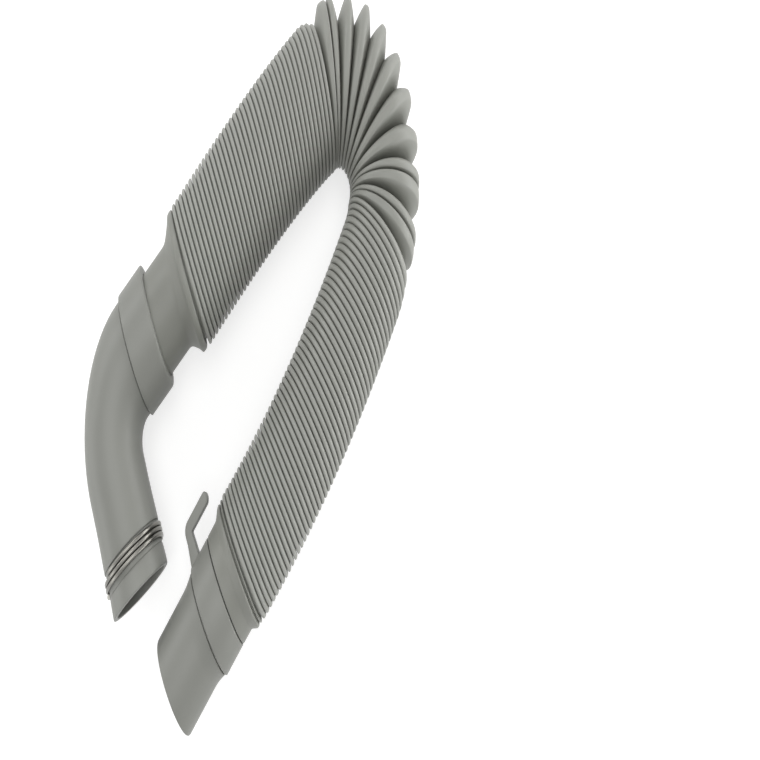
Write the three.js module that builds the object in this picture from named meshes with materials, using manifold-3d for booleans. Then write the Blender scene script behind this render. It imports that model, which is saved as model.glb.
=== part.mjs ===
// Washing machine drain hose: a blow-moulded bellows hose pressed together and bent double,
// with a moulded elbow held by a spring wire clip on one end and a spout with a hook on the other.
// Millimetres, +Z up. The hose lies on the floor; the bend turns about the vertical through (0, 0)
// of the frame that all routes below are given in, and the finished group is centred at the end.

import * as THREE from "three";
import { mergeVertices } from "three/addons/utils/BufferGeometryUtils.js";
import Module from "manifold-3d";

// Driving dimensions, bellows.
const ridge_radius = 26.5;
const fold_wall = 10.5;
const closed_pitch = 3.02;
const closed_groove = 2.2;
const bellows_wall = 1.2;
const ring_sides = 20;

// The fan: folds that stand open on the outside of the bend and stay shut on its inside.
// Each fold takes up its angle round the bend between two notches. Its rings lie at shares of
// that angle, at the inner arch and at the outside, so a fold's back has a thickness of its own.
const bend_inner_radius = 8.3;
const fan_ring_width = 54;
const notch_depth = 7.6;
const fan_start = -23.4;
const open_rings = [
  ["ridge", 0.1, 0.41],
  ["ridge", 0.9, 0.65],
];
const twin_rings = [
  ["ridge", 0.1, 0.285],
  ["ridge", 0.5, 0.5],
  ["shut", 0.565, 0.555],
  ["ridge", 0.63, 0.61],
  ["ridge", 0.93, 0.745],
];
const twin_rings_turned = twin_rings.map(([kind, inner, outer]) => [kind, 1 - inner, 1 - outer]).reverse();
const first_fold = { angle: 20.4, rings: twin_rings };
const open_fold = { angle: 14.48, rings: open_rings };
const eighth_fold = { angle: 18.1, rings: twin_rings_turned };
const last_fold = { angle: 17.3, rings: twin_rings_turned };
const open_folds = 6;

// The two closed legs. Headings are in degrees from +X, seen from above, along the hose from
// the elbow to the spout; a leg is followed from its end at the fan to its far end. Its first
// few folds are drawn in towards the bend, a little narrower, and still turn with it.
const drawn_in_steps = 7;
const left_leg = {
  folds: 40,
  fan_end: [-14, 31.7],
  drawn_in: 2.4,
  narrowed: 2.2,
  fan_turn: 0,
  heading_at_fan: 24.6,
  heading_at_neck: 32.8,
  lean: 0.4,
  ease: 2,
  neck_heading: 31.1,
};
const right_leg = {
  folds: 50,
  fan_end: [31.4, -18.4],
  drawn_in: 1.9,
  narrowed: 0,
  fan_turn: 5.5,
  heading_at_fan: -125.8,
  heading_at_neck: -141.1,
  lean: -2.8,
  ease: 1,
  neck_heading: -141.6,
};

// Necks of the hose, from the last groove outwards.
const neck_radius = 19.1;
const neck_wall = 1.8;
const shoulder_rim = 4.6;
const shoulder_length = 8.4;
const left_neck_clear = 17.6;
const left_neck_in_socket = 17;
const right_shoulder_length = 9.8;
const right_neck_radius = 22.8;
const right_neck_clear = 8.4;
const right_neck_in_socket = 13.5;
const spigot_radius = 19.9;
const fit_gap = 0.3;
const flange_step = 0.4;
const shoulder_step = 0.9;

// The elbow.
const elbow_turn = 86.4;
const elbow_bend_radius = 29;
const elbow_radius = 21.5;
const elbow_bore = neck_radius + fit_gap;
const collar_radius = 23;
const collar_length = 20;
const elbow_corner_to_collar = 31.6;
const elbow_corner_to_mouth = 69.7;
const mouth_lip_radius = 21.7;
const clip_groove_radius = 20.7;
const clip_groove_centre = 12.3;
const edge_round = 0.8;

// The wire clip.
const wire_radius = 0.95;
const clip_turns = 2.9;
const clip_pitch = 2.15;
const clip_start_angle = 128;

// The spout with its hook.
const band_length = 16.4;
const band_radius = 22.8;
const spout_taper = 7;
const spout_radius = 20.2;
const spout_length = 35.5;
const spout_wall = 1.9;
const hook_post = 5.8;
const hook_gap = 7.8;
const hook_finger = 6;
const hook_reach = 19.7;
const hook_width = 7.5;
const hook_setback = 2.4;
const hook_lean = 3;
const hook_corner = 3;
const hook_inner_corner = 1.2;
const hook_root = 1.5;

const axis_height = ridge_radius;
const degrees = THREE.MathUtils.degToRad;

function heading(angle) {
  return new THREE.Vector2(Math.cos(degrees(angle)), Math.sin(degrees(angle)));
}

// A station is one ring of the skin: where its centre is, which way the hose runs through it,
// and the half width and half height of the ring. `side` is the ring's horizontal direction.
function station(centre, angle, half_width, half_height = half_width) {
  const side = heading(angle + 90);
  return { centre: centre.clone(), side, half_width, half_height };
}

// A closed skin through a loop of stations: out along the hose and back through its bore.
function ring_skin(stations, sides) {
  const points = [];
  const faces = [];
  for (const ring of stations) {
    for (let i = 0; i < sides; i += 1) {
      const turn = (2 * Math.PI * i) / sides;
      const across = ring.half_width * Math.cos(turn);
      const x = ring.centre.x + ring.side.x * across;
      const y = ring.centre.y + ring.side.y * across;
      points.push(x, y, axis_height + ring.half_height * Math.sin(turn));
    }
  }
  for (let r = 0; r < stations.length; r += 1) {
    const here = r * sides;
    const next = ((r + 1) % stations.length) * sides;
    for (let i = 0; i < sides; i += 1) {
      const j = (i + 1) % sides;
      faces.push(here + i, here + j, next + j);
      faces.push(here + i, next + j, next + i);
    }
  }
  const geometry = new THREE.BufferGeometry();
  geometry.setAttribute("position", new THREE.Float32BufferAttribute(points, 3));
  geometry.setIndex(faces);
  return geometry;
}

// The closed folds of one leg, from the fan outwards: groove, ridge, groove and so on.
function leg_rings(leg, outward) {
  const rings = [];
  const centre = new THREE.Vector2(...leg.fan_end);
  const steps = 2 * leg.folds;
  for (let k = 0; k <= steps; k += 1) {
    const along = outward < 0 ? 1 - (1 - k / steps) ** leg.ease : k / steps;
    const near_fan = Math.max(0, 1 - k / drawn_in_steps) ** 2;
    const leg_turn = (leg.heading_at_neck - leg.heading_at_fan) * along;
    const turned = leg.heading_at_fan + leg_turn + leg.fan_turn * near_fan;
    const radius = k % 2 === 0 ? ridge_radius - closed_groove : ridge_radius;
    const half_width = radius - leg.narrowed * near_fan;
    const place = centre.clone().addScaledVector(heading(turned - 90), leg.drawn_in * near_fan);
    rings.push({ centre: place, angle: turned, half_width, half_height: radius });
    if (k < steps) {
      centre.addScaledVector(heading(turned + leg.lean), (outward * closed_pitch) / 2);
    }
  }
  return rings;
}

// One ring of the fan, at an angle round the bend from straight up the page, clockwise, and slid
// along the hose. It stands so deep below a ridge at the arch, at the outside, and elsewhere.
function fan_ring(angle, slide, at_arch, at_outside, elsewhere) {
  const inner = bend_inner_radius + at_arch;
  const outer = bend_inner_radius + fan_ring_width - at_outside;
  const out = heading(90 - angle);
  return {
    centre: out.clone().multiplyScalar((inner + outer) / 2).addScaledVector(heading(-angle), slide),
    angle: -angle,
    half_width: (outer - inner) / 2,
    half_height: ridge_radius - elsewhere,
  };
}

// The rings of one fold that starts at an angle, each between its places at arch and outside.
function fold_rings(start, fold) {
  return fold.rings.map(([kind, inner_share, outer_share]) => {
    const at_arch = degrees(fold.angle * inner_share) * bend_inner_radius;
    const at_outside = degrees(fold.angle * outer_share) * (bend_inner_radius + fan_ring_width);
    const turned = (at_outside - at_arch) / fan_ring_width;
    const depth = kind === "shut" ? closed_groove : 0;
    const slide = at_arch - turned * bend_inner_radius;
    return fan_ring(start + THREE.MathUtils.radToDeg(turned), slide, depth, depth, depth);
  });
}

// The fan of opened folds; a twin is an open fold with one shut ridge lying against it.
function fan_rings() {
  const notch = (angle) => fan_ring(angle, 0, closed_groove, notch_depth, fold_wall);
  const folds = [first_fold, ...Array(open_folds).fill(open_fold), eighth_fold, last_fold];
  let angle = fan_start;
  const rings = [notch(angle)];
  for (const fold of folds) {
    rings.push(...fold_rings(angle, fold));
    angle += fold.angle;
    rings.push(notch(angle));
  }
  return rings;
}

// Rings of a round neck past the end of a leg: pairs of [distance, radius].
function neck_rings(last, leg, outward, profile) {
  const run = heading(leg.neck_heading);
  return profile.map(([distance, radius]) => ({
    centre: last.centre.clone().addScaledVector(run, outward * distance),
    angle: leg.neck_heading,
    half_width: radius,
    half_height: radius,
  }));
}

function as_station(ring) {
  return station(ring.centre, ring.angle, ring.half_width, ring.half_height);
}

const left_rings = leg_rings(left_leg, -1);
const right_rings = leg_rings(right_leg, 1);
const left_last = left_rings[left_rings.length - 1];
const right_last = right_rings[right_rings.length - 1];
const left_neck_start = shoulder_rim + shoulder_length;
const left_neck_end = left_neck_start + left_neck_clear + left_neck_in_socket;
const right_neck_start = right_shoulder_length + right_neck_clear;
const right_neck_end = right_neck_start + right_neck_in_socket;

function bellows_hose() {
  const left_bore = neck_radius - neck_wall;
  const right_bore = spigot_radius - neck_wall;
  const left_neck = neck_rings(left_last, left_leg, -1, [
    [closed_pitch / 2, ridge_radius - edge_round],
    [closed_pitch / 2 + edge_round, ridge_radius - flange_step],
    [shoulder_rim - edge_round, ridge_radius - flange_step],
    [shoulder_rim, ridge_radius - flange_step - edge_round],
    [left_neck_start - 1.2, neck_radius + 1.1],
    [left_neck_start, neck_radius],
    [left_neck_end - edge_round, neck_radius],
    [left_neck_end, neck_radius - edge_round],
  ]);
  const right_neck = neck_rings(right_last, right_leg, 1, [
    [closed_pitch / 2, ridge_radius - flange_step],
    [closed_pitch / 2 + edge_round, ridge_radius - shoulder_step],
    [right_shoulder_length - edge_round, right_neck_radius + shoulder_step],
    [right_shoulder_length, right_neck_radius],
    [right_neck_start - flange_step, right_neck_radius],
    [right_neck_start, right_neck_radius - flange_step],
    [right_neck_start, spigot_radius],
    [right_neck_end - edge_round, spigot_radius],
    [right_neck_end, spigot_radius - edge_round],
  ]);
  const fan = fan_rings();
  const outside = [
    ...left_neck.slice().reverse(),
    ...left_rings.slice(1).reverse(),
    ...fan,
    ...right_rings.slice(1),
    ...right_neck,
  ];
  const fold_bore = ridge_radius - fold_wall - bellows_wall;
  const narrowed = (ring) => ({ ...ring, half_width: fold_bore, half_height: fold_bore });
  const every_eighth = (rings) => rings.filter((ring, i) => i % 8 === 0).map(narrowed);
  const inside = [
    ...neck_rings(left_last, left_leg, -1, [[0, fold_bore], [left_neck_start, left_bore], [left_neck_end, left_bore]])
      .reverse(),
    ...every_eighth(left_rings).slice(1, -1).reverse(),
    ...fan.filter((ring) => ring.half_height < ridge_radius - closed_groove).map(narrowed),
    ...every_eighth(right_rings).slice(1, -1),
    ...neck_rings(right_last, right_leg, 1, [[0, fold_bore], [right_shoulder_length, right_bore], [right_neck_end, right_bore]]),
  ];
  return ring_skin([...outside, ...inside.reverse()].map(as_station), ring_sides);
}

// Where the socket edges of the two mouldings sit, on the necks that go into them.
const left_run = heading(left_leg.neck_heading);
const socket_edge = left_last.centre.clone().addScaledVector(left_run, -(left_neck_start + left_neck_clear));
const right_run = heading(right_leg.neck_heading);
const band_edge = right_last.centre.clone().addScaledVector(right_run, right_neck_start + fit_gap);

// The elbow's own route: from the socket edge to the mouth, distance in millimetres.
const elbow_in = left_leg.neck_heading + 180;
const elbow_out = elbow_in + elbow_turn;
const bend_tangent = elbow_bend_radius * Math.tan(degrees(elbow_turn / 2));
const first_straight = collar_length + elbow_corner_to_collar - bend_tangent;
const bend_length = elbow_bend_radius * degrees(elbow_turn);
const second_straight = elbow_corner_to_mouth - bend_tangent;
const elbow_length = first_straight + bend_length + second_straight;

function elbow_place(distance) {
  const on_bend = THREE.MathUtils.clamp(distance - first_straight, 0, bend_length);
  const angle = elbow_in + (on_bend / bend_length) * elbow_turn;
  const centre = socket_edge.clone();
  centre.addScaledVector(heading(elbow_in), Math.min(distance, first_straight));
  const chord = 2 * elbow_bend_radius * Math.sin(degrees((angle - elbow_in) / 2));
  centre.addScaledVector(heading((elbow_in + angle) / 2), chord);
  centre.addScaledVector(heading(elbow_out), Math.max(distance - first_straight - bend_length, 0));
  return { centre, angle };
}

function elbow_ring(distance, radius) {
  const place = elbow_place(distance);
  return station(place.centre, place.angle, radius);
}

function elbow_spout() {
  const clip_at = elbow_length - clip_groove_centre;
  const clip_half = (clip_turns * clip_pitch) / 2 + wire_radius + fit_gap;
  const bend_steps = 9;
  const outside = [
    [0, collar_radius - edge_round],
    [edge_round, collar_radius],
    [collar_length - edge_round, collar_radius],
    [collar_length, collar_radius - edge_round],
    [collar_length, elbow_radius],
  ];
  for (let i = 0; i <= bend_steps; i += 1) {
    outside.push([first_straight + (bend_length * i) / bend_steps, elbow_radius]);
  }
  outside.push(
    [clip_at - clip_half, elbow_radius],
    [clip_at - clip_half, clip_groove_radius],
    [clip_at + clip_half, clip_groove_radius],
    [clip_at + clip_half, mouth_lip_radius - 0.3],
    [elbow_length - edge_round, mouth_lip_radius],
    [elbow_length, mouth_lip_radius - edge_round],
  );
  const inside = [[0, elbow_bore]];
  for (let i = 0; i <= bend_steps; i += 1) {
    inside.push([first_straight + (bend_length * i) / bend_steps, elbow_bore]);
  }
  inside.push([elbow_length, elbow_bore]);
  const loop = [...outside, ...inside.reverse()].map(([distance, radius]) => elbow_ring(distance, radius));
  return ring_skin(loop, ring_sides);
}

// The clip is one spring wire wound round the mouth of the elbow.
class ClipHelix extends THREE.Curve {
  getPoint(t, target = new THREE.Vector3()) {
    const turned = t * clip_turns;
    const along = (t - 0.5) * clip_turns * clip_pitch;
    const place = elbow_place(elbow_length - clip_groove_centre + along);
    const radius = clip_groove_radius + fit_gap + wire_radius;
    const turn = degrees(clip_start_angle) + 2 * Math.PI * turned;
    const across = radius * Math.cos(turn);
    const side = heading(place.angle + 90);
    return target.set(
      place.centre.x + side.x * across,
      place.centre.y + side.y * across,
      axis_height + radius * Math.sin(turn),
    );
  }
}

function wire_clip() {
  const section = new THREE.Shape();
  section.absarc(0, 0, wire_radius, 0, 2 * Math.PI);
  return new THREE.ExtrudeGeometry(section, {
    steps: Math.round(clip_turns * 20),
    curveSegments: 3,
    bevelEnabled: false,
    extrudePath: new ClipHelix(),
  });
}

function as_solid(wasm, geometry) {
  const bare = geometry.clone();
  bare.deleteAttribute("normal");
  bare.deleteAttribute("uv");
  const merged = mergeVertices(bare, 1e-4);
  const mesh = new wasm.Mesh({
    numProp: 3,
    vertProperties: new Float32Array(merged.attributes.position.array),
    triVerts: new Uint32Array(merged.index.array),
  });
  return new wasm.Manifold(mesh);
}

function as_geometry(solid) {
  const mesh = solid.getMesh();
  const geometry = new THREE.BufferGeometry();
  geometry.setAttribute("position", new THREE.Float32BufferAttribute(mesh.vertProperties, 3));
  geometry.setIndex(Array.from(mesh.triVerts));
  return geometry;
}

// The spout body is turned about its own axis: +Y of the profile runs from the band's open edge
// to the spout's end.
function spout_body() {
  const socket = spigot_radius + fit_gap;
  const bore = spout_radius - spout_wall;
  const socket_depth = right_neck_in_socket + 0.9;
  const end = band_length + spout_length;
  const profile = [
    [socket, 0],
    [band_radius - edge_round, 0],
    [band_radius, edge_round],
    [band_radius, band_length - 0.5],
    [band_radius - 0.5, band_length],
    [band_radius - 0.9, band_length + 0.2],
    [spout_radius, band_length + spout_taper],
    [spout_radius, end - edge_round],
    [spout_radius - edge_round, end],
    [bore, end],
    [bore, socket_depth + 1.5],
    [socket, socket_depth],
    [socket, 0],
  ];
  return new THREE.LatheGeometry(profile.map(([radius, along]) => new THREE.Vector2(radius, along)), ring_sides);
}

// The hook is a flat bar that rises from the band, leans towards the folds and turns along them.
function hook_bar() {
  const foot = band_radius - hook_root;
  const under = band_radius + hook_gap;
  const top = under + hook_finger;
  const heel = band_length - hook_setback;
  const shin = heel - hook_lean;
  const tip = shin - hook_reach + hook_finger / 2;
  const bar = new THREE.Shape();
  bar.moveTo(foot, heel);
  bar.lineTo(under, shin);
  bar.lineTo(top - hook_corner, shin);
  bar.absarc(top - hook_corner, shin - hook_corner, hook_corner, Math.PI / 2, 0, true);
  bar.lineTo(top, tip);
  bar.absarc(top - hook_finger / 2, tip, hook_finger / 2, 0, -Math.PI, true);
  bar.lineTo(under, shin - hook_post - hook_inner_corner);
  bar.absarc(
    under - hook_inner_corner, shin - hook_post - hook_inner_corner, hook_inner_corner, 0, Math.PI / 2, false,
  );
  bar.lineTo(foot, heel - hook_post);
  bar.closePath();
  const geometry = new THREE.ExtrudeGeometry(bar, {
    depth: hook_width,
    curveSegments: 5,
    bevelEnabled: false,
  });
  return geometry.translate(0, 0, -hook_width / 2);
}

const wasm = await Module();
wasm.setup();

function end_spout() {
  return as_geometry(as_solid(wasm, spout_body()).add(as_solid(wasm, hook_bar())));
}

const grey_plastic = { color: 0x9b9b94, roughness: 0.62, metalness: 0 };

function part(name, geometry, look) {
  const mesh = new THREE.Mesh(geometry, new THREE.MeshStandardMaterial(look));
  mesh.name = name;
  return mesh;
}

const hose = new THREE.Group();
hose.add(part("bellows_hose", bellows_hose(), grey_plastic));
hose.add(part("elbow_spout", elbow_spout(), grey_plastic));
hose.add(part("wire_clip", wire_clip(), { color: 0x9a9a98, roughness: 0.3, metalness: 1 }));

const spout = part("end_spout", end_spout(), grey_plastic);
spout.rotation.z = degrees(right_leg.neck_heading - 90);
spout.position.set(band_edge.x, band_edge.y, axis_height);
hose.add(spout);

// The frame's origin is under the middle of the hose's outline, on the floor.
const outline = new THREE.Box3().setFromObject(hose, true);
const middle = outline.getCenter(new THREE.Vector3());
hose.position.set(-middle.x, -middle.y, 0);

export default hose;
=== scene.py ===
"""Washing machine drain hose: bellows bent double, elbow with a wire clip, spout with a hook."""

import math
from collections import namedtuple

import bpy
import bmesh
from mathutils import Matrix, Vector


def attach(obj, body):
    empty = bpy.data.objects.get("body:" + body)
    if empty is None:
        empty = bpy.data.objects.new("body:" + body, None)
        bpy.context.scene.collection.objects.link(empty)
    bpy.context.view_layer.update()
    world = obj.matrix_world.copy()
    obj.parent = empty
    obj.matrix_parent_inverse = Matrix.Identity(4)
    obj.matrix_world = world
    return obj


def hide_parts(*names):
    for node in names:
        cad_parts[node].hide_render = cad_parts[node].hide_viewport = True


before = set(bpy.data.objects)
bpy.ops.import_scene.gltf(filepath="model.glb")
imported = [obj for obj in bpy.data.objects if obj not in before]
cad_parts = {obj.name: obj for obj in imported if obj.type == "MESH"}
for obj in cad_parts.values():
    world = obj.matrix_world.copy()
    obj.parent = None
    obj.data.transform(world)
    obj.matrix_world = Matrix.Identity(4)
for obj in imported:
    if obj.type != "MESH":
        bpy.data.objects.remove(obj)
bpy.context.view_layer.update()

bl_info = {
    "name": "Washing Machine Drain Hose",
    "version": (1, 0, 0),
    "blender": (4, 5, 0),
    "location": "3D View > Sidebar > Drain Hose",
    "description": "Builds the skins, wire clip, finishes and stage of a drain hose",
    "category": "Object",
}

MM = 0.001


def size(name, description, millimetres):
    """A length that the user can change, given in millimetres and kept in metres."""
    return bpy.props.FloatProperty(
        name=name, description=description, default=millimetres * MM, precision=5, unit="LENGTH"
    )


def turn(name, description, degrees):
    """An angle that the user can change."""
    return bpy.props.FloatProperty(
        name=name, description=description, default=math.radians(degrees), unit="ROTATION"
    )


def colour(name, description, code):
    """A colour that the user can change, kept as its sRGB hex code."""
    return bpy.props.StringProperty(name=name, description=description, default=code)


class BellowsSizes(bpy.types.PropertyGroup):
    """Sizes of the bellows, its folds and its plain necks"""

    ridge_radius: size("Ridge radius", "Outside radius of a shut fold", 26.5)
    closed_pitch: size("Closed pitch", "Distance from one shut fold to the next", 3.02)
    closed_groove: size("Closed groove", "Depth of the groove between two shut folds", 3.2)
    twin_groove: size("Twin groove", "Depth of the groove beside a twin ridge in the fan", 6)
    arch_groove: size("Arch groove", "Depth of an open fold at the inner arch", 0.7)
    fold_wall: size("Fold wall", "Depth of an open fold on the sides of the fan", 10.5)
    notch_depth: size("Notch depth", "Depth of an open fold on the outside of the fan", 7.6)
    bend_inner_radius: size("Inner arch", "Radius of the arch inside the bend", 8.3)
    fan_width: size("Fan width", "Width of an open fold, from the arch to its tip", 53.85)
    open_fold: turn("Open fold", "Angle that one open fold takes up round the bend", 14.48)
    fan_start: turn("Fan start", "Angle of the first notch, clockwise from straight up", -23.4)
    crown: size("Crown", "How far the middle of an open fold's back stands proud", 0.25)
    bore: size("Bore", "Radius of the clear way through the folds", 14.8)
    left_neck: size("Elbow neck", "Radius of the plain neck that goes into the elbow", 19.1)
    left_bore: size("Elbow neck bore", "Radius of the bore in the elbow's neck", 17.3)
    right_neck: size("Spout neck", "Radius of the plain neck that meets the spout", 22.8)
    right_bore: size("Spout neck bore", "Radius of the bore in the spout's neck", 18.1)
    spigot: size("Spigot", "Radius of the end that goes into the spout's band", 19.9)
    sides: bpy.props.IntProperty(
        name="Sides", description="Faces round each ring of the bellows", default=72, min=12
    )


class MouldingSizes(bpy.types.PropertyGroup):
    """Sizes of the elbow and the spout"""

    elbow_turn: turn("Elbow turn", "Angle that the elbow turns through", 85.4)
    elbow_bend: size("Elbow bend", "Radius of the elbow's centre line", 30.5)
    elbow_radius: size("Elbow tube", "Outside radius of the elbow's tube", 21.5)
    elbow_bore: size("Elbow bore", "Radius of the elbow's bore", 19.4)
    collar_radius: size("Collar radius", "Outside radius of the elbow's collar", 23)
    collar_length: size("Collar length", "Length of the elbow's collar", 20)
    lip_radius: size("Lip radius", "Outside radius of the elbow's mouth", 22.3)
    groove_radius: size("Clip groove", "Radius of the groove that the clip lies in", 21.4)
    groove_place: size("Clip place", "Distance from the mouth to the middle of the clip", 12.3)
    band_radius: size("Band radius", "Outside radius of the spout's band", 22.8)
    band_length: size("Band length", "Length of the spout's band", 16.4)
    spout_radius: size("Spout radius", "Outside radius of the spout", 20.2)
    spout_length: size("Spout length", "Length of the spout past its band", 34.9)
    spout_wall: size("Spout wall", "Wall thickness of the spout", 1.9)
    hook_width: size("Hook width", "Thickness of the hook, across the hose", 7.5)
    sides: bpy.props.IntProperty(
        name="Sides", description="Faces round each ring of the mouldings", default=96, min=12
    )


class ClipSizes(bpy.types.PropertyGroup):
    """Sizes of the wire clip"""

    wire_radius: size("Wire radius", "Radius of the spring wire", 0.95)
    coil_radius: size("Coil radius", "Radius from the tube's middle to the wire's middle", 22.65)
    pitch: size("Clip pitch", "Distance from one turn of wire to the next", 1.97)
    start: turn("Clip start", "Angle at which the wire starts", 128)
    turns: bpy.props.FloatProperty(name="Turns", description="Turns of the wire", default=2.9)


class FinishColours(bpy.types.PropertyGroup):
    """Colours of the plastics, the painted highlight on the fold backs, the wire and the floor"""

    bellows: colour("Bellows", "Blow-moulded polypropylene", "#868781")
    bellows_deep: colour("Bellows, duller", "Duller patches of the same plastic", "#7F8079")
    # Painted highlight: a paler colour laid along each fold's back, where the ridges catch the
    # light; the plastic itself is not whiter there.
    painted_crest_highlight: colour("Fold backs", "Plastic gone pale where it was folded", "#979892")
    moulding: colour("Mouldings", "Injection-moulded polypropylene", "#868782")
    moulding_deep: colour("Mouldings, duller", "Duller patches of the same plastic", "#80817B")
    wire: colour("Wire", "Drawn spring steel", "#7B7A75")
    floor: colour("Floor", "Pale studio floor", "#BEBEBD")


# A ring's pale value is its share of the painted highlight on the fold backs.
Ring = namedtuple("Ring", "centre angle half_width half_height pale", defaults=(0,))
Leg = namedtuple(
    "Leg", "folds fan_end drawn_in narrowed fan_turn at_fan at_neck lean ease neck outward"
)

# The middle of the bend on the floor, and the two shut legs as they lie in the photograph:
# millimetres from that middle and degrees from +X, along the hose from the elbow to the spout.
# Over its first few grooves a leg is drawn in, narrowed and turned to meet the fan.
BEND_MIDDLE = (69.1802, 59.8711)
LEFT_LEG = Leg(
    folds=40,
    fan_end=(-14, 31.7),
    drawn_in=2.4,
    narrowed=2.2,
    fan_turn=0,
    at_fan=24.6,
    at_neck=32.8,
    lean=0.4,
    ease=2,
    neck=31.1,
    outward=-1,
)
RIGHT_LEG = Leg(
    folds=50,
    fan_end=(31.4, -18.4),
    drawn_in=1.9,
    narrowed=0,
    fan_turn=5.5,
    at_fan=-125.8,
    at_neck=-141.1,
    lean=-2.8,
    ease=1,
    neck=-141.6,
    outward=1,
)
DRAWN_IN_STEPS = 7

# Places on the necks, in millimetres past the last groove of their leg: where the elbow's collar
# starts, where the spout is measured from, and where the bore has widened.
COLLAR_PLACE, BAND_PLACE = 30.6, 18.5
LEFT_WIDE_PLACE, RIGHT_WIDE_PLACE = 13, 9.8

# The bore is smooth, so it has one ring for so many of a leg's grooves and ridges.
BORE_STRIDE = 8

# Rings of one fold of the fan, as shares of its angle at the inner arch and at the outside.
OPEN_FOLD = (("ridge", 0.1, 0.45), ("ridge", 0.9, 0.66))
TWIN_FOLD = (
    ("ridge", 0.1, 0.285),
    ("ridge", 0.5, 0.5),
    ("shut", 0.565, 0.555),
    ("ridge", 0.63, 0.61),
    ("ridge", 0.93, 0.745),
)
# The twins at the spout's side are turned about, and each twin takes up its own angle in degrees.
TWIN_TURNED = tuple((kind, 1 - inner, 1 - outer) for kind, inner, outer in TWIN_FOLD[::-1])
OPEN_FOLDS = 6
FIRST_ANGLE, EIGHTH_ANGLE, LAST_ANGLE = 20.4, 18.1, 17.3

# Where rings stand on one wall of a fold, from its root to its tip, and across a fold's back.
SHUT_WALL_STEPS = (0, 0.13, 0.2, 0.38, 0.68)
OPEN_WALL_STEPS = (0, 0.02, 0.05, 0.1, 0.18, 0.3, 0.45, 0.6, 0.75, 0.87, 0.95)
TWIN_WALL_STEPS = (0, 0.03, 0.1, 0.22, 0.42, 0.7)
BACK_STEPS = (0, 0.25, 0.5, 0.75)

# How strongly the painted highlight is laid on the fold backs where the folds are pressed shut, and
# where they stand open.
SHUT_PAINTED_HIGHLIGHT, OPEN_PAINTED_HIGHLIGHT = 1, 0.5


def heading(degrees):
    """Unit vector on the floor, in degrees from +X."""
    return Vector((math.cos(math.radians(degrees)), math.sin(math.radians(degrees)), 0))


def shut_height(step):
    """Height of a shut fold's wall: a narrow cleft, then a round back."""
    cleft, back = 0.13, 0.36
    if step < cleft:
        return (1 - back) * step / cleft
    rise = (step - cleft) / (1 - cleft)
    return 1 - back * (1 - math.sqrt(1 - (1 - rise) ** 2))


def open_height(step):
    """Height of an open fold's wall, 0 at its root and 1 at its tip, with both ends rounded."""
    root, tip = 0.04, 0.04
    height = (1 - step) * math.hypot(step, root) + step * (1 - math.hypot(1 - step, tip))
    return (height - root) / (1 - tip - root)


def lobe_height(step):
    """Height of an open fold's side: a narrow valley and a full round lobe."""
    fullness = 1.9
    return (1 - (1 - step) ** fullness) ** (1 / fullness)


def between(a, b, step, out, up):
    """The ring a part of the way from a to b, blended apart along the hose, out and up."""
    angle = a.angle + (b.angle - a.angle) * step
    way = b.centre - a.centre
    across = heading(angle + 90)
    return Ring(
        a.centre + way * step + across * (way.dot(across) * (out - step)),
        angle,
        a.half_width + (b.half_width - a.half_width) * out,
        a.half_height + (b.half_height - a.half_height) * up,
        # The painted highlight grows steeply towards the fold's back.
        a.pale + (b.pale - a.pale) * up**3,
    )


def lowered(ring, depth):
    """The same ring a little smaller all round."""
    return ring._replace(half_width=ring.half_width - depth, half_height=ring.half_height - depth)


def narrowed(ring, radius):
    """The same ring drawn in to the bore."""
    return ring._replace(half_width=radius, half_height=radius)


def walls(rings, steps, rise, lift=None):
    """Fine rings along coarse ones, each coarse pair being one wall between a root and a tip."""
    fine = []
    lift = lift or rise
    for a, b in zip(rings, rings[1:]):
        if a.half_height < b.half_height:
            fine += [between(a, b, step, rise(step), lift(step)) for step in steps]
        else:
            fine.append(a)
            fine += [between(b, a, step, rise(step), lift(step)) for step in reversed(steps[1:])]
    return fine


def bend_middle(sizes):
    """The middle of the bend, at the height of the hose's centre line."""
    return Vector((BEND_MIDDLE[0] * MM, BEND_MIDDLE[1] * MM, sizes.ridge_radius))


def leg_rings(leg, sizes):
    """Grooves and ridges of one shut leg, from the fan outwards."""
    centre = Vector((*leg.fan_end, 0)) * MM + bend_middle(sizes)
    steps = 2 * leg.folds
    rings = []
    for k in range(steps + 1):
        along = 1 - (1 - k / steps) ** leg.ease
        near_fan = max(0, 1 - k / DRAWN_IN_STEPS) ** 2
        angle = leg.at_fan + (leg.at_neck - leg.at_fan) * along + leg.fan_turn * near_fan
        radius = sizes.ridge_radius if k % 2 else sizes.ridge_radius - sizes.closed_groove
        place = centre + heading(angle - 90) * (leg.drawn_in * near_fan * MM)
        # Painted highlight: each ridge of a shut leg takes the full share, each groove none.
        pale = SHUT_PAINTED_HIGHLIGHT * (k % 2)
        rings.append(Ring(place, angle, radius - leg.narrowed * near_fan * MM, radius, pale))
        centre += heading(angle + leg.lean) * (leg.outward * sizes.closed_pitch / 2)
    return rings


def fan_ring(sizes, angle, slide, at_arch, at_outside, elsewhere):
    """One ring of the fan, slid along the hose, and so deep at the arch and outside it."""
    inner = sizes.bend_inner_radius + at_arch
    outer = sizes.bend_inner_radius + sizes.fan_width - at_outside
    centre = bend_middle(sizes) + heading(90 - angle) * ((inner + outer) / 2)
    centre += heading(-angle) * slide
    height = sizes.ridge_radius - elsewhere
    # Painted highlight: the fan's ridges take the open folds' share, its notches and twin grooves
    # none.
    return Ring(centre, -angle, (outer - inner) / 2, height, 0 if elsewhere else OPEN_PAINTED_HIGHLIGHT)


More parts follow.
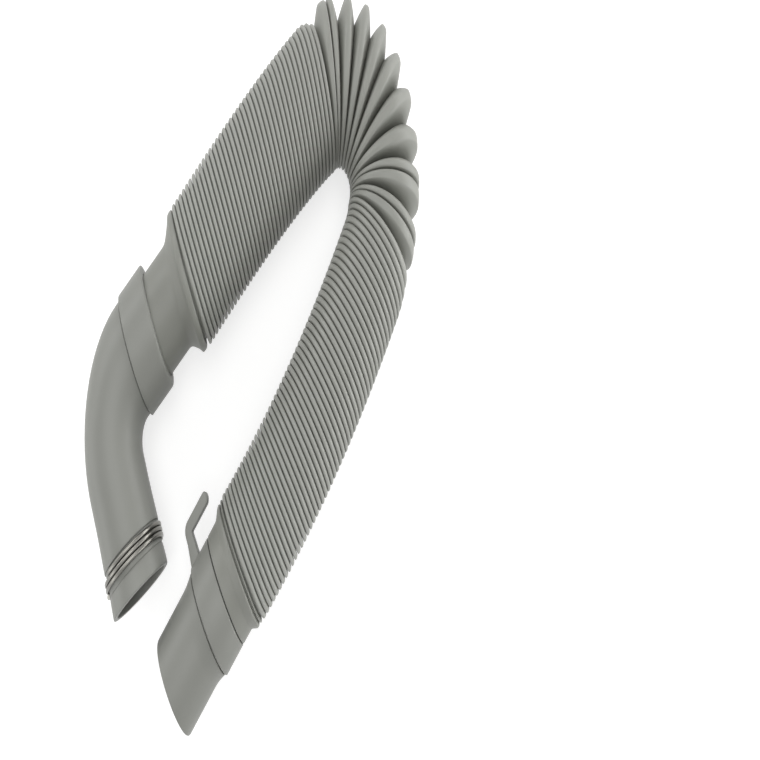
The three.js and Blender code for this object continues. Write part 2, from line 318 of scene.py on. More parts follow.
def fold_rings(sizes, start, opening, fold):
    """The rings of one fold of the fan, each between its places at the arch and outside."""
    rings = []
    for kind, inner, outer in fold:
        at_arch = math.radians(opening * inner) * sizes.bend_inner_radius
        at_outside = math.radians(opening * outer) * (sizes.bend_inner_radius + sizes.fan_width)
        turned = (at_outside - at_arch) / sizes.fan_width
        depth = sizes.twin_groove if kind == "shut" else 0
        slide = at_arch - turned * sizes.bend_inner_radius
        angle = start + math.degrees(turned)
        rings.append(fan_ring(sizes, angle, slide, min(depth, sizes.arch_groove), depth, depth))
    return rings


def fan_rings(sizes):
    """Notches and ridges of the open folds; a twin has one shut ridge lying against it."""
    folds = [(FIRST_ANGLE, TWIN_FOLD)]
    folds += [(math.degrees(sizes.open_fold), OPEN_FOLD)] * OPEN_FOLDS
    folds += [(EIGHTH_ANGLE, TWIN_TURNED), (LAST_ANGLE, TWIN_TURNED)]
    notch = (0, sizes.arch_groove, sizes.notch_depth, sizes.fold_wall)
    angle = math.degrees(sizes.fan_start)
    rings = [fan_ring(sizes, angle, *notch)]
    for opening, fold in folds:
        rings += fold_rings(sizes, angle, opening, fold)
        angle += opening
        rings.append(fan_ring(sizes, angle, *notch))
    return rings


def softened(profile, steps=4):
    """A profile of (distance, radius, rounding) points with its corners rounded."""
    most_of_side = 0.48
    points = [(Vector(p[:2]), p[2]) for p in profile]
    soft = []
    for i, (here, rounding) in enumerate(points):
        if not rounding or i in (0, len(points) - 1):
            soft.append(here)
            continue
        before, after = points[i - 1][0] - here, points[i + 1][0] - here
        start = here + before * min(rounding / before.length, most_of_side)
        end = here + after * min(rounding / after.length, most_of_side)
        for k in range(steps + 1):
            t = k / steps
            soft.append(start * (1 - t) ** 2 + here * (2 * t * (1 - t)) + end * t**2)
    return soft


def neck_ring(last, leg, distance, radius):
    """One plain ring of a neck, so far past the last groove of its leg."""
    centre = last.centre + heading(leg.neck) * (leg.outward * distance)
    return Ring(centre, leg.neck, radius, radius)


def neck_rings(last, leg, profile):
    """Rings of a plain neck past the last groove of a leg."""
    return [neck_ring(last, leg, *point) for point in softened(profile)]


def left_neck_profile(sizes):
    """The flange and the plain neck at the elbow's end."""
    rim, foot, clear, hidden = 4.6 * MM, 11.4 * MM, COLLAR_PLACE * MM, 47.6 * MM
    ridge, neck, pitch = sizes.ridge_radius, sizes.left_neck, sizes.closed_pitch
    return [
        (pitch * 0.2, ridge - sizes.closed_groove, 0),
        (pitch * 0.34, ridge - 0.5 * MM, 1.2 * MM),
        (rim, ridge - 0.4 * MM, 1.5 * MM),
        (rim + 1.4 * MM, ridge - 2.6 * MM, 2.4 * MM),
        (foot - 1.2 * MM, neck + 1.1 * MM, 2 * MM),
        (foot + 1 * MM, neck, 2 * MM),
        (clear, neck, 0),
        (hidden, neck, 0.8 * MM),
        (hidden, neck - 0.9 * MM, 0),
    ]


def right_neck_profile(sizes):
    """A last shallow fold, the shoulder, the plain neck and the spigot at the spout's end."""
    rim, foot, clear, hidden = 4.8 * MM, 8.8 * MM, 17 * MM, 31.7 * MM
    ridge, neck, pitch = sizes.ridge_radius, sizes.right_neck, sizes.closed_pitch
    shallow_groove = 2.6 * MM
    return [
        (pitch * 0.2, ridge - sizes.closed_groove, 0),
        (pitch * 0.34, ridge - 0.5 * MM, 1.2 * MM),
        (pitch * 0.66, ridge - 0.5 * MM, 1.2 * MM),
        (pitch * 0.8, ridge - shallow_groove, 0.2 * MM),
        (pitch * 0.94, ridge - shallow_groove, 0.2 * MM),
        (pitch * 1.08, ridge - 0.6 * MM, 1 * MM),
        (rim, ridge - 0.7 * MM, 1 * MM),
        (foot, neck + 0.1 * MM, 1 * MM),
        (clear - 0.1 * MM, neck, 0.5 * MM),
        (clear, sizes.spigot, 0),
        (hidden, sizes.spigot, 0.8 * MM),
        (hidden, sizes.spigot - 0.9 * MM, 0),
    ]


def fan_walls(fan, sizes):
    """Fine rings of the fan: straight walls, and a back that is crowned between two ridges."""
    fine = []
    shut = sizes.ridge_radius - sizes.twin_groove

    def shoulder(ring):
        return lowered(ring, sizes.crown) if ring.half_height > shut else ring

    for a, b in zip(fan, fan[1:]):
        if a.half_height == b.half_height:
            for step in BACK_STEPS:
                drop = sizes.crown * (2 * step - 1) ** 2
                fine.append(lowered(between(a, b, step, step, step), drop))
        elif min(a.half_height, b.half_height) < shut:
            fine += walls([shoulder(a), shoulder(b)], OPEN_WALL_STEPS, open_height, lobe_height)
        else:
            fine += walls([shoulder(a), shoulder(b)], TWIN_WALL_STEPS, lobe_height)
    return fine


def bellows_rings(sizes):
    """The whole skin of the bellows: outside from the elbow to the spout, then the bore back."""
    left, right, fan = leg_rings(LEFT_LEG, sizes), leg_rings(RIGHT_LEG, sizes), fan_rings(sizes)
    left_neck = neck_rings(left[-1], LEFT_LEG, left_neck_profile(sizes))
    right_neck = neck_rings(right[-1], RIGHT_LEG, right_neck_profile(sizes))
    notch_height = sizes.ridge_radius - sizes.fold_wall
    notches = [ring for ring in fan if ring.half_height <= notch_height]
    outside = [
        *reversed(left_neck),
        *walls(left[:0:-1], SHUT_WALL_STEPS, shut_height),
        *walls([left[1], fan[0]], SHUT_WALL_STEPS, shut_height),
        *fan_walls(fan, sizes),
        *walls([fan[-1], right[1]], SHUT_WALL_STEPS, shut_height),
        *walls(right[1:], SHUT_WALL_STEPS, shut_height),
        right[-1],
        *right_neck,
    ]
    folds = [*left[:0:-BORE_STRIDE], *notches, *right[BORE_STRIDE::BORE_STRIDE]]
    bore = [
        narrowed(left_neck[-1], sizes.left_bore),
        neck_ring(left[-1], LEFT_LEG, LEFT_WIDE_PLACE * MM, sizes.left_bore),
        *(narrowed(ring, sizes.bore) for ring in folds),
        neck_ring(right[-1], RIGHT_LEG, RIGHT_WIDE_PLACE * MM, sizes.right_bore),
        narrowed(right_neck[-1], sizes.right_bore),
    ]
    return outside + bore[::-1]


def socket_edge(bellows):
    """Where the elbow's collar starts on the left neck."""
    return neck_ring(leg_rings(LEFT_LEG, bellows)[-1], LEFT_LEG, COLLAR_PLACE * MM, 0).centre


def band_edge(bellows):
    """The place on the right neck from which the spout is measured."""
    return neck_ring(leg_rings(RIGHT_LEG, bellows)[-1], RIGHT_LEG, BAND_PLACE * MM, 0).centre


class ElbowRoute:
    """The elbow's centre line: straight, bend, straight, from its collar to its mouth."""

    def __init__(self, start, sizes):
        corner_to_collar, corner_to_mouth = 31.6 * MM, 69.7 * MM
        tangent = sizes.elbow_bend * math.tan(sizes.elbow_turn / 2)
        self.start = start
        self.bend = sizes.elbow_bend
        self.turn = math.degrees(sizes.elbow_turn)
        self.first = sizes.collar_length + corner_to_collar - tangent
        self.arc = sizes.elbow_bend * sizes.elbow_turn
        self.length = self.first + self.arc + corner_to_mouth - tangent
        self.angle_in = LEFT_LEG.neck + 180

    def place(self, distance):
        """Centre and heading at a distance along the route."""
        on_bend = min(max(distance - self.first, 0), self.arc)
        angle = self.angle_in + self.turn * on_bend / self.arc
        centre = self.start + heading(self.angle_in) * min(distance, self.first)
        chord = 2 * self.bend * math.sin(math.radians(angle - self.angle_in) / 2)
        centre = centre + heading((self.angle_in + angle) / 2) * chord
        past = max(distance - self.first - self.arc, 0)
        return centre + heading(self.angle_in + self.turn) * past, angle

    def ring(self, distance, radius):
        """A ring of the elbow, square to its route."""
        centre, angle = self.place(distance)
        return Ring(centre, angle, radius, radius)


def finely(profile, step):
    """The profile with points put in wherever two stand more than a step apart."""
    fine = [profile[0]]
    for a, b in zip(profile, profile[1:]):
        parts = max(1, math.ceil(abs(b[0] - a[0]) / step))
        fine += [a.lerp(b, (k + 1) / parts) for k in range(parts)]
    return fine


def elbow_rings(bellows, sizes, clip):
    """The whole skin of the elbow: outside from the collar to the mouth, then the bore back."""
    route = ElbowRoute(socket_edge(bellows), sizes)
    mouth, collar_end = route.length, sizes.collar_length
    collar, tube, bore = sizes.collar_radius, sizes.elbow_radius, sizes.elbow_bore
    groove, lip = sizes.groove_radius, sizes.lip_radius
    seam = tube - 0.7 * MM
    seam_width, swell, swell_run, play = 0.5 * MM, 0.7 * MM, 14 * MM, 0.3 * MM
    inside, spacing = 2 * MM, 2.5 * MM
    clip_half = clip.turns * clip.pitch / 2 + clip.wire_radius + play
    clip_start = mouth - sizes.groove_place - clip_half
    clip_end = mouth - sizes.groove_place + clip_half
    outside = softened(
        [
            (0, bore, 0),
            (0, collar, 1.6 * MM),
            (collar_end, collar, 0.5 * MM),
            (collar_end + 0.1 * MM, seam, 0.2 * MM),
            (collar_end + seam_width, seam, 0.2 * MM),
            (collar_end + seam_width + 0.3 * MM, tube, 0.3 * MM),
            (clip_start - swell_run, tube, 6 * MM),
            (clip_start - 0.3 * MM, tube + swell, 0.5 * MM),
            (clip_start, groove, 0.3 * MM),
            (clip_end, groove, 0.3 * MM),
            (clip_end + 0.4 * MM, lip - 0.5 * MM, 0.6 * MM),
            (mouth - 3 * MM, lip, 2 * MM),
            (mouth, lip, 0.7 * MM),
            (mouth, bore, 0.5 * MM),
            (mouth - inside, bore, 0),
        ]
    )
    back = [Vector((mouth - inside, bore)), Vector((0, bore))]
    loop = finely(outside, spacing) + finely(back, spacing)[1:-1]
    return [route.ring(*point) for point in loop]


def spout_rings(bellows, sizes):
    """The whole skin of the spout: outside from its band to its end, then the bore back."""
    band, spout, bore = sizes.band_radius, sizes.spout_radius, sizes.spout_radius - sizes.spout_wall
    socket, stop, narrow = bellows.spigot + 0.3 * MM, 14.4 * MM, 15.9 * MM
    seam, shoulder, taper = band - 2.4 * MM, band - 1.1 * MM, 7 * MM
    start, step = -1 * MM, sizes.band_length - 1.1 * MM
    end = sizes.band_length + sizes.spout_length
    profile = softened(
        [
            (start, socket, 0),
            (start, band, 0.7 * MM),
            (step, band, 0.45 * MM),
            (step + 0.1 * MM, seam, 0.2 * MM),
            (step + 0.8 * MM, seam, 0.2 * MM),
            (step + 1.1 * MM, shoulder, 0.3 * MM),
            (step + taper, spout, 4 * MM),
            (end, spout, 1.6 * MM),
            (end, bore, 0.6 * MM),
            (narrow, bore, 0),
            (stop, socket, 0),
        ]
    )
    edge, run = band_edge(bellows), heading(RIGHT_LEG.neck)
    return [Ring(edge + run * along, RIGHT_LEG.neck, radius, radius) for along, radius in profile]


def arc_points(x, y, radius, start, end, parts):
    """Points along an arc round (x, y), both ends included, with angles in degrees."""
    points = []
    for k in range(parts + 1):
        angle = math.radians(start + (end - start) * k / parts)
        points.append((x + radius * math.cos(angle), y + radius * math.sin(angle)))
    return points


def hook_outline(sizes):
    """The hook from above: a post that leans towards the folds, and a finger along them."""
    band, heel = sizes.band_radius / MM, sizes.band_length / MM - 1.2
    foot, under, top = band - 1.5, band + 8.8, band + 13.8
    shin, inside, tip = heel - 3, heel - 8, heel - 22.4
    knee, end, corner, slope = 4.2, 2.5, 0.5, 0.3
    return [
        (foot, heel),
        (under - 1.6, shin + slope),
        *arc_points(top - knee, shin - knee, knee, 80, 0, 7),
        *arc_points(top - end, tip, end, 0, -180, 12),
        *arc_points(under - corner, inside - corner, corner, 0, 90, 4),
        (foot, inside + slope),
    ]


def add_node(tree, kind, inputs=None, **settings):
    """Adds a node with its settings; inputs are linked to sockets or other nodes, or else set."""
    node = tree.nodes.new(kind)
    for name, value in settings.items():
        setattr(node, name, value)
    for key, value in (inputs or {}).items():
        if isinstance(value, bpy.types.Node):
            value = next(socket for socket in value.outputs if socket.enabled)
        if isinstance(value, bpy.types.NodeSocket):
            tree.links.new(value, node.inputs[key])
        else:
            node.inputs[key].default_value = value
    return node


def linear(code):
    """An sRGB hex code as the linear colour that a socket takes."""
    levels = [int(code[i : i + 2], 16) / 255 for i in (1, 3, 5)]
    return (*(c / 12.92 if c <= 0.04045 else ((c + 0.055) / 1.055) ** 2.4 for c in levels), 1)


def new_material(name):
    """A material with an empty tree."""
    material = bpy.data.materials.new(name)
    material.use_nodes = True
    material.node_tree.nodes.clear()
    return material, material.node_tree


def per_mm(size_mm):
    """The scale at which a pattern's cells come out at this size."""
    return 1 / (size_mm * MM)


# Widths of the finishes' patterns in millimetres. The flow patches of moulded polypropylene are
# some centimetres wide. The grain of a mould is really 0.1 mm and the die lines of a drawn wire
# 0.05 mm wide; both are drawn coarser, so that they show.
PATCH_MM = 38
BLOWN_GRAIN_MM, INJECTED_GRAIN_MM = 0.9, 0.6
DIE_LINE_MM = 1.6


def moulded_plastic(name, light, dull, grain_mm, roughness, painted_crest_highlight=None):
    """Polypropylene with flow patches, a fine mould grain, a soft sheen and, where asked, a painted
    highlight on the fold backs.
    """
    uneven = 0.05
    material, tree = new_material(name)
    place = add_node(tree, "ShaderNodeTexCoord").outputs["Object"]
    patches = add_node(
        tree, "ShaderNodeTexNoise", {"Vector": place, "Scale": per_mm(PATCH_MM), "Detail": 3}
    )
    tint = add_node(
        tree,
        "ShaderNodeMix",
        {"Factor": patches, "A": linear(dull), "B": linear(light)},
        data_type="RGBA",
    )
    # Painted highlight: where the rings' pale attribute says so, the colour is mixed towards the
    # paler fold-back colour, as if the ridges caught the light.
    if painted_crest_highlight:
        pale = add_node(tree, "ShaderNodeAttribute", attribute_name="pale").outputs["Fac"]
        tint = add_node(
            tree,
            "ShaderNodeMix",
            {"Factor": pale, "A": tint, "B": linear(painted_crest_highlight)},
            data_type="RGBA",
        )
    grain = add_node(
        tree, "ShaderNodeTexNoise", {"Vector": place, "Scale": per_mm(grain_mm), "Detail": 2}
    )
    bump = add_node(
        tree, "ShaderNodeBump", {"Strength": 0.25, "Distance": 0.03 * MM, "Height": grain}
    )
    rough = add_node(
        tree,
        "ShaderNodeMapRange",
        {"Value": patches, "To Min": roughness - uneven, "To Max": roughness + uneven},
    )
    shader = add_node(
        tree,
        "ShaderNodeBsdfPrincipled",
        {
            "Base Color": tint,
            "Roughness": rough,
            "IOR": 1.49,
            "Specular IOR Level": 0.5,
            "Normal": bump,
        },
    )
    add_node(tree, "ShaderNodeOutputMaterial", {"Surface": shader})
    return material


def drawn_steel(colours):
    """Drawn spring steel: bright, with faint die lines that break up its highlight."""
    material, tree = new_material("drawn_spring_steel")
    place = add_node(tree, "ShaderNodeTexCoord").outputs["Object"]
    lines = add_node(
        tree, "ShaderNodeTexNoise", {"Vector": place, "Scale": per_mm(DIE_LINE_MM), "Detail": 3}
    )
    rough = add_node(tree, "ShaderNodeMapRange", {"Value": lines, "To Min": 0.22, "To Max": 0.4})
    shader = add_node(
        tree,
        "ShaderNodeBsdfPrincipled",
        {"Base Color": linear(colours.wire), "Metallic": 1, "Roughness": rough},
    )
    add_node(tree, "ShaderNodeOutputMaterial", {"Surface": shader})
    return material


def named_inputs(tree, inputs):
    tree.interface.new_socket("Geometry", in_out="INPUT", socket_type="NodeSocketGeometry")
    tree.interface.new_socket("Geometry", in_out="OUTPUT", socket_type="NodeSocketGeometry")
    for name, kind in inputs.items():
        tree.interface.new_socket(name, in_out="INPUT", socket_type="NodeSocket" + kind)
    return add_node(tree, "NodeGroupInput").outputs


def finish_tree(tree, geometry, material):
    """Ends a tree: smooth faces, instances made real, material set."""
    smooth = add_node(tree, "GeometryNodeSetShadeSmooth", {"Geometry": geometry})
    real = add_node(tree, "GeometryNodeRealizeInstances", {"Geometry": smooth})
    painted = add_node(tree, "GeometryNodeSetMaterial", {"Geometry": real, "Material": material})
    add_node(tree, "NodeGroupOutput", {"Geometry": painted})


# What each ring carries into the skin.
RING_VALUES = {
    "position": "FLOAT_VECTOR",
    "side": "FLOAT_VECTOR",
    "half_width": "FLOAT",
    "half_height": "FLOAT",
    "pale": "FLOAT",
}


def ring_skin_tree():
    """Sweeps a closed skin through a loop of rings, each a point with its side and half sizes."""
    tree = bpy.data.node_groups.new("ring_skin", "GeometryNodeTree")
    given = named_inputs(tree, {"Sides": "Int", "Material": "Material"})
    rings, sides = given["Geometry"], given["Sides"]
    math_kind, vector_kind = "ShaderNodeMath", "ShaderNodeVectorMath"

    # A grid that runs once through all rings and once round each, with its seams lying double.
    count = add_node(tree, "GeometryNodeAttributeDomainSize", {"Geometry": rings})
    along = add_node(tree, math_kind, {0: count, 1: 1}, operation="ADD")
    across = add_node(tree, math_kind, {0: sides, 1: 1}, operation="ADD")
    grid = add_node(tree, "GeometryNodeMeshGrid", {"Vertices X": along, "Vertices Y": across})

    # Which ring a point of the grid lies on, and its angle round that ring. The half keeps the
    # quotient off whole numbers, where rounding could put a point on the ring before.
    index = add_node(tree, "GeometryNodeInputIndex")
    half_past = add_node(tree, math_kind, {0: index, 1: 0.5}, operation="ADD")
    quotient = add_node(tree, math_kind, {0: half_past, 1: across}, operation="DIVIDE")
    row = add_node(tree, math_kind, {0: quotient}, operation="FLOOR")
    ring = add_node(tree, math_kind, {0: row, 1: count}, operation="MODULO")
    passed = add_node(tree, math_kind, {0: row, 1: across}, operation="MULTIPLY")
    place = add_node(tree, math_kind, {0: index, 1: passed}, operation="SUBTRACT")
    turned = add_node(tree, math_kind, {0: place, 1: 2 * math.pi}, operation="MULTIPLY")
    angle = add_node(tree, math_kind, {0: turned, 1: sides}, operation="DIVIDE")

    values = {}
    for name, kind in RING_VALUES.items():
        named = add_node(tree, "GeometryNodeInputNamedAttribute", {"Name": name}, data_type=kind)
        values[name] = add_node(
            tree,
            "GeometryNodeSampleIndex",
            {"Geometry": rings, "Value": named, "Index": ring},
            data_type=kind,
            domain="POINT",
        )
    cosine = add_node(tree, math_kind, {0: angle}, operation="COSINE")
    sine = add_node(tree, math_kind, {0: angle}, operation="SINE")
    wide = add_node(tree, math_kind, {0: values["half_width"], 1: cosine}, operation="MULTIPLY")
    high = add_node(tree, math_kind, {0: values["half_height"], 1: sine}, operation="MULTIPLY")
    sideways = add_node(tree, vector_kind, {0: values["side"], "Scale": wide}, operation="SCALE")
    upwards = add_node(tree, "ShaderNodeCombineXYZ", {"Z": high})
    centred = add_node(tree, vector_kind, {0: sideways, 1: values["position"]}, operation="ADD")
    raised = add_node(tree, vector_kind, {0: centred, 1: upwards}, operation="ADD")
    skin = add_node(tree, "GeometryNodeSetPosition", {"Geometry": grid, "Position": raised})
    # Each point keeps its ring's share of the painted highlight, for the material to read.
    noted = add_node(
        tree,
        "GeometryNodeStoreNamedAttribute",
        {"Geometry": skin, "Name": "pale", "Value": values["pale"]},
        data_type="FLOAT",
        domain="POINT",
    )
    closed = add_node(tree, "GeometryNodeMergeByDistance", {"Geometry": noted, "Distance": 1e-6})
    finish_tree(tree, closed, given["Material"])
    return tree


def wire_tree():
    """Winds a wire into a coil and lays it on its axis."""
    tree = bpy.data.node_groups.new("wire_coil", "GeometryNodeTree")
    kinds = {name: "Float" for name in ("Wire Radius", "Coil Radius", "Turns", "Length")}
    given = named_inputs(
        tree, {**kinds, "Centre": "Vector", "Turned": "Rotation", "Material": "Material"}
    )
    coil = add_node(
        tree,
        "GeometryNodeCurveSpiral",
        {
            "Resolution": 72,
            "Rotations": given["Turns"],
            "Start Radius": given["Coil Radius"],
            "End Radius": given["Coil Radius"],
            "Height": given["Length"],
        },
    )
    section = add_node(
        tree,
        "GeometryNodeCurvePrimitiveCircle",
        {"Resolution": 16, "Radius": given["Wire Radius"]},
    )
    wire = add_node(
        tree,
        "GeometryNodeCurveToMesh",
        {"Curve": coil, "Profile Curve": section, "Fill Caps": True},
    )
    laid = add_node(
        tree,
        "GeometryNodeTransform",
        {"Geometry": wire, "Translation": given["Centre"], "Rotation": given["Turned"]},
    )
    finish_tree(tree, laid, given["Material"])
    return tree


def through_tree(name, mesh, tree, values):
    """Runs a geometry node tree on a mesh and returns the result as a plain object."""
    source = bpy.data.objects.new(name + "_source", mesh)
    bpy.context.collection.objects.link(source)
    modifier = source.modifiers.new("tree", "NODES")
    modifier.node_group = tree
    for item in tree.interface.items_tree:
        if item.in_out == "INPUT" and item.name in values:
            modifier[item.identifier] = values[item.name]
    graph = bpy.context.evaluated_depsgraph_get()
    made = bpy.data.meshes.new_from_object(source.evaluated_get(graph), depsgraph=graph)
    bpy.data.objects.remove(source)
    made.name = name
    piece = bpy.data.objects.new(name, made)
    bpy.context.collection.objects.link(piece)
    return piece


def ring_mesh(name, rings):
    """The loop of rings as bare points that carry each ring's side and half sizes."""
    mesh = bpy.data.meshes.new(name)
    mesh.from_pydata([ring.centre for ring in rings], [], [])
    mesh.attributes.new("side", "FLOAT_VECTOR", "POINT")
    for key in ("half_width", "half_height", "pale"):
        mesh.attributes.new(key, "FLOAT", "POINT")
    for i, ring in enumerate(rings):
        mesh.attributes["side"].data[i].vector = heading(ring.angle + 90)
        for key in ("half_width", "half_height", "pale"):
            mesh.attributes[key].data[i].value = getattr(ring, key)
    return mesh


def ring_skin(name, rings, sides, material):
    """A closed skin through a loop of rings, facing outwards."""
    tree = bpy.data.node_groups.get("ring_skin") or ring_skin_tree()
    piece = through_tree(name, ring_mesh(name, rings), tree, {"Sides": sides, "Material": material})
    face_outwards(piece.data)
    return piece


# Edges that turn by more than this stay hard.
HARD_EDGE = math.radians(50)
SPOUT_HARD_EDGE = math.radians(40)


def face_outwards(mesh):
    """Turns the skin's faces round if it encloses a negative volume, and marks its hard edges."""
    shell = bmesh.new()
    shell.from_mesh(mesh)
    if shell.calc_volume(signed=True) < 0:
        bmesh.ops.reverse_faces(shell, faces=shell.faces)
    shell.to_mesh(mesh)
    shell.free()
    mesh.set_sharp_from_angle(angle=HARD_EDGE)


def belongs(piece, node):
    """The piece takes the place of a CAD node, which it hides, and moves with the object."""
    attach(piece, "root")
    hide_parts(node)


class HOSE_OT_bellows(bpy.types.Operator):
    """Builds the bellows: shut folds in both legs and opened folds round the bend"""

    bl_idname = "hose.bellows"
    bl_label = "Bellows"

    def execute(self, context):
        sizes, colours = context.scene.hose_bellows, context.scene.hose_colours
        # Blow-moulded polypropylene: a soft sheen, and a painted highlight along each fold's back.
        material = moulded_plastic(
            "blow_moulded_polypropylene",
            colours.bellows,
            colours.bellows_deep,
            grain_mm=BLOWN_GRAIN_MM,
            roughness=0.48,
            painted_crest_highlight=colours.painted_crest_highlight,
        )
        piece = ring_skin("bellows", bellows_rings(sizes), sizes.sides, material)
        belongs(piece, "bellows_hose")
        return {"FINISHED"}


class HOSE_OT_elbow(bpy.types.Operator):
    """Builds the elbow with its collar, clip groove and mouth"""

    bl_idname = "hose.elbow"
    bl_label = "Elbow"

    def execute(self, context):
        scene = context.scene
        piece = ring_skin(
            "elbow",
            elbow_rings(scene.hose_bellows, scene.hose_mouldings, scene.hose_clip),
            scene.hose_mouldings.sides,
            moulding_material(scene.hose_colours),
        )
        belongs(piece, "elbow_spout")
        return {"FINISHED"}


def moulding_material(colours):
    """Injection-moulded polypropylene: as matte as the bellows, but finer and more even."""
    name = "injection_moulded_polypropylene"
    return bpy.data.materials.get(name) or moulded_plastic(
        name,
        colours.moulding,
        colours.moulding_deep,
        grain_mm=INJECTED_GRAIN_MM,
        roughness=0.46,
    )


class HOSE_OT_spout(bpy.types.Operator):
    """Builds the spout with its band and the hook that rises from it"""

    bl_idname = "hose.spout"
    bl_label = "Spout"

    def execute(self, context):
        scene = context.scene
        sizes = scene.hose_mouldings
        material = moulding_material(scene.hose_colours)
        piece = ring_skin("spout", spout_rings(scene.hose_bellows, sizes), sizes.sides, material)
        hook = self.hook(scene, sizes, material)
        join = piece.modifiers.new("join", "BOOLEAN")
        join.operation = "UNION"
        join.solver = "MANIFOLD"
        join.object = hook
        graph = context.evaluated_depsgraph_get()
        joined = bpy.data.meshes.new_from_object(piece.evaluated_get(graph), depsgraph=graph)
        piece.modifiers.clear()
        piece.data = joined
        bpy.data.objects.remove(hook)
        joined.set_sharp_from_angle(angle=SPOUT_HARD_EDGE)
        belongs(piece, "end_spout")
        return {"FINISHED"}

    def hook(self, scene, sizes, material):
        """The hook as a bar with broken edges, in place on the band."""
        outline = hook_outline(sizes)
        broken_edge = 0.5 * MM
        bar = bmesh.new()
        corners = [bar.verts.new((x * MM, y * MM, -sizes.hook_width / 2)) for x, y in outline]
        face = bar.faces.new(corners)
        raised = bmesh.ops.extrude_face_region(bar, geom=[face])
        tops = [item for item in raised["geom"] if isinstance(item, bmesh.types.BMVert)]
        bmesh.ops.translate(bar, verts=tops, vec=(0, 0, sizes.hook_width))
        bmesh.ops.recalc_face_normals(bar, faces=bar.faces)
        rims = [edge for edge in bar.edges if edge.verts[0].co.z * edge.verts[1].co.z > 0]
        bmesh.ops.bevel(bar, geom=rims, offset=broken_edge, segments=3, profile=0.5, affect="EDGES")
        origin = band_edge(scene.hose_bellows)
        turned = Matrix.Rotation(math.radians(RIGHT_LEG.neck - 90), 4, "Z")
        bar.transform(Matrix.Translation(origin) @ turned)
        mesh = bpy.data.meshes.new("hook")
        bar.to_mesh(mesh)
        bar.free()
        mesh.materials.append(material)
        mesh.shade_smooth()
        hook = bpy.data.objects.new("hook", mesh)
        scene.collection.objects.link(hook)
        return hook


class HOSE_OT_clip(bpy.types.Operator):
    """Winds the spring wire clip round the elbow's mouth"""

    bl_idname = "hose.clip"
    bl_label = "Wire Clip"

    def execute(self, context):
        scene = context.scene
        clip, mouldings = scene.hose_clip, scene.hose_mouldings
        route = ElbowRoute(socket_edge(scene.hose_bellows), mouldings)
        length = clip.turns * clip.pitch
        start, angle = route.place(route.length - mouldings.groove_place - length / 2)
        axes = Matrix((heading(angle + 90), Vector((0, 0, 1)), heading(angle))).transposed()
        turned = axes @ Matrix.Rotation(clip.start, 3, "Z")
        values = {
            "Wire Radius": clip.wire_radius,
            "Coil Radius": clip.coil_radius,
            "Turns": clip.turns,
            "Length": length,
            "Centre": start,
            "Turned": turned.to_euler(),
            "Material": drawn_steel(scene.hose_colours),
        }
        piece = through_tree("clip", bpy.data.meshes.new("clip"), wire_tree(), values)
        face_outwards(piece.data)
        belongs(piece, "wire_clip")
        return {"FINISHED"}


# The photograph is a straight view down on the hose that was then squeezed sideways. Its
# numbers are pixels of the picture before the squeeze: the point under the camera, and how
# high the camera stands above the hose's centre line.
SQUEEZE = 0.42
PICTURE = 760
FOOT = (687, 524)
HEIGHT = 1092
PIXELS_PER_MM = 3
BEND_PIXEL = (808.9, 189.5)

# The stage camera: millimetres of its lens and sensor, and metres for the rest. The lens sheet
# lies just under it and is a little larger than what the camera sees there.
LENS = 50
SENSOR = 36
CAMERA_HEIGHT = 0.44
NEAR_CLIP = 0.0002
SHEET_DROP = 0.002
SHEET_MARGIN = 1.1

# Long side lamps: name, where it stands round the hose in degrees from +X, height in metres and
# power in watts. Then their distance and sides, and the same of the lamp overhead.
SIDE_LAMPS = (
    ("upper_left", 130, 0.6, 6.6),
    ("lower_right", -22, 0.2, 7),
    ("left", 205, 0.3, 4),
    ("right", 28, 0.3, 6.5),
)
SIDE_DISTANCE, SIDE_LENGTH, SIDE_HEIGHT = 1.1, 1.5, 0.35
OVERHEAD_HEIGHT, OVERHEAD_SIZE, OVERHEAD_POWER = 1.6, 1.2, 11

FLOOR_RADIUS, FLOOR_CORNERS = 1.05, 96

# How strongly the floor glows where it is seen, and the world's strength where it lights.
FLOOR_GLOW = 0.71
WORLD_LIGHT = 0.24


def photo_camera_place(sizes):
    """Where the photograph's own camera stands."""
    middle = bend_middle(sizes)
    across = (FOOT[0] - BEND_PIXEL[0]) / PIXELS_PER_MM * MM
    up = (BEND_PIXEL[1] - FOOT[1]) / PIXELS_PER_MM * MM
    return middle + Vector((across, up, HEIGHT / PIXELS_PER_MM * MM))


def lens_material(place):
    """Sends each ray on from the photograph's camera, squeezed sideways as its picture is."""
    material, tree = new_material("lens_sheet")
    half = PICTURE / 2
    pixels = half / (SENSOR / 2 / LENS * SHEET_DROP)
    spread = (pixels / SQUEEZE / HEIGHT, pixels / HEIGHT, 0)
    ahead = ((half / SQUEEZE - FOOT[0]) / HEIGHT, (FOOT[1] - half) / HEIGHT, -1)
    point = add_node(tree, "ShaderNodeTexCoord").outputs["Object"]
    aim = add_node(
        tree,
        "ShaderNodeVectorMath",
        {0: point, 1: spread, 2: ahead},
        operation="MULTIPLY_ADD",
    )
    unit = add_node(tree, "ShaderNodeVectorMath", {0: aim}, operation="NORMALIZE")
    start = add_node(tree, "ShaderNodeCombineXYZ", {"X": place.x, "Y": place.y, "Z": place.z})
    portal = add_node(tree, "ShaderNodeBsdfRayPortal", {"Position": start, "Direction": unit})
    clear = add_node(tree, "ShaderNodeBsdfTransparent")
    travelled = add_node(tree, "ShaderNodeLightPath").outputs["Ray Length"]
    near = add_node(
        tree, "ShaderNodeMath", {0: travelled, 1: SHEET_DROP * 2}, operation="LESS_THAN"
    )
    choice = add_node(tree, "ShaderNodeMixShader", {0: near, 1: clear, 2: portal})
    add_node(tree, "ShaderNodeOutputMaterial", {"Surface": choice})
    return material


